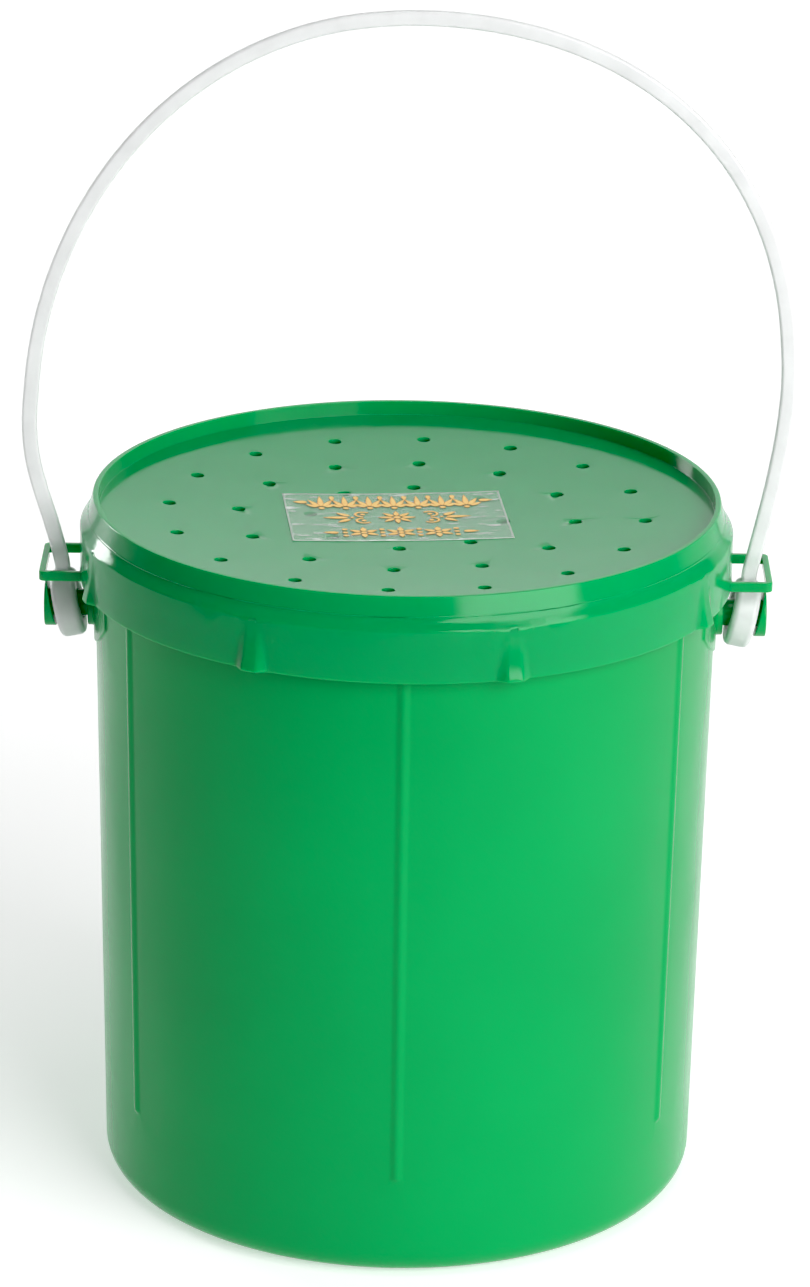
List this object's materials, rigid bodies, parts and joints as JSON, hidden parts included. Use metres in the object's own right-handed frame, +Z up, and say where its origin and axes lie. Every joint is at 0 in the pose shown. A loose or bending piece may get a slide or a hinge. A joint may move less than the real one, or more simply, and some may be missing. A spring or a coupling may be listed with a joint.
{
  "type": "bait box",
  "caption": "Round pail for bait, with a vented lid that clips over its rim, guard loops over the ears and a bail handle that swings on moulded pins.",
  "frame": {"origin": "middle of the foot, on the surface that the pail stands on", "axes": "+Z up through the lid, X through the two ears and the handle's pins, -Y the front"},
  "size_m": [0.1412, 0.1202, 0.2226],
  "materials": {
    "pail_green": "moulded polypropylene, satin gloss",
    "lid_green": "moulded polypropylene, glossy",
    "handle_white": "natural polyethylene, milky and slightly translucent",
    "label_clear": "clear film with a plain gold print"
  },
  "bodies": {
    "pail": {"pail": "pail_green"},
    "lid": {"lid": "lid_green", "label_film": "label_clear"},
    "bail_handle": {"bail_handle": "handle_white"}
  },
  "joints": [
    {"name": "bail_swing", "type": "hinge", "parent": "pail", "child": "bail_handle", "pos_m": [0, 0, 0.11], "axis": [1, 0, 0], "range_deg": [-28, 28]},
    {"name": "lid_lift", "type": "slide", "parent": "pail", "child": "lid", "axis": [0, 0, 1], "range_m": [0, 0.0015]}
  ]
}
